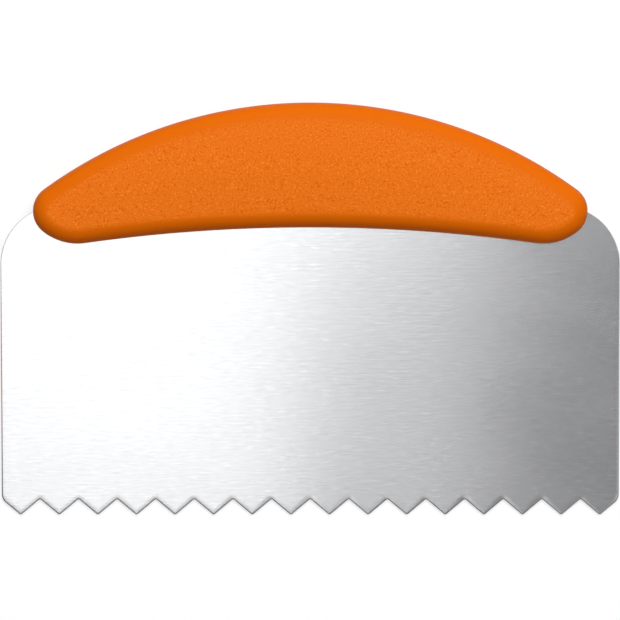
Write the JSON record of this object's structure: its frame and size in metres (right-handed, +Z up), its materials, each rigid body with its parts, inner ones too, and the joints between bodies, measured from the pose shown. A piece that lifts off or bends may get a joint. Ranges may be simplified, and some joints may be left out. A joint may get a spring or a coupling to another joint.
{
  "type": "cake comb",
  "caption": "Flat cake comb with a toothed stainless steel edge and a moulded orange plastic grip along the other edge, for drawing even ridges in icing.",
  "frame": {"origin": "under the middle of the whole comb, on the surface that it lies on", "axes": "+X along the toothed edge and the grip, +Y from the teeth to the grip, +Z up; the comb lies on its back, so its front face looks up"},
  "size_m": [0.2236, 0.1488, 0.0187],
  "materials": {
    "brushed_steel": "brushed",
    "orange_plastic": "matte"
  },
  "bodies": {
    "root": {"blade": "brushed_steel", "handle": "orange_plastic"}
  },
  "joints": []
}
